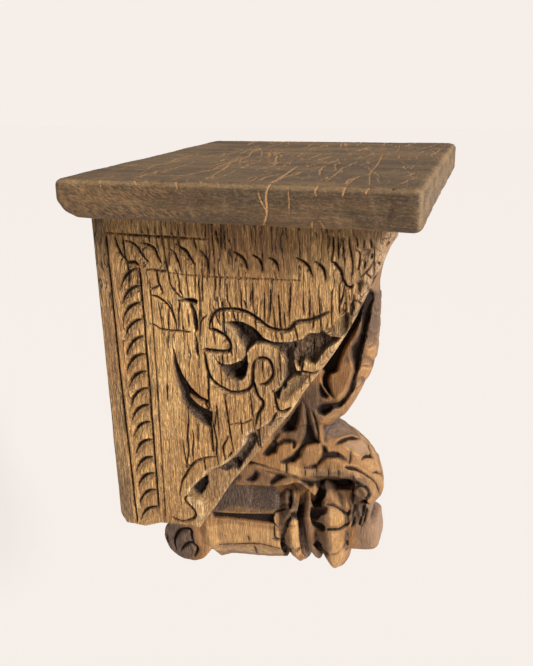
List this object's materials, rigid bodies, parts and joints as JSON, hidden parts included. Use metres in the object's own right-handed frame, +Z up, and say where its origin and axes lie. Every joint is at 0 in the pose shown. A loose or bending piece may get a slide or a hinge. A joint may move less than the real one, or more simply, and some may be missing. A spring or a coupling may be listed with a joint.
{
  "type": "wooden corbel bracket",
  "caption": "Carved wooden corbel bracket with relief flanks, a leaf and scroll spine, a hanging lotus bud and a thick shelf board on top.",
  "frame": {"origin": "middle of the bracket's flat wall face, behind the block", "axes": "+Z up, +Y into the wall along the wall face's outward normal, +X along the wall; the carved front faces -Y"},
  "size_m": [0.268, 0.219, 0.3502],
  "materials": {
    "carved_wood": "matte",
    "board_wood": "matte"
  },
  "bodies": {
    "root": {"carved_bracket": "carved_wood", "shelf_board": "board_wood"}
  },
  "joints": []
}
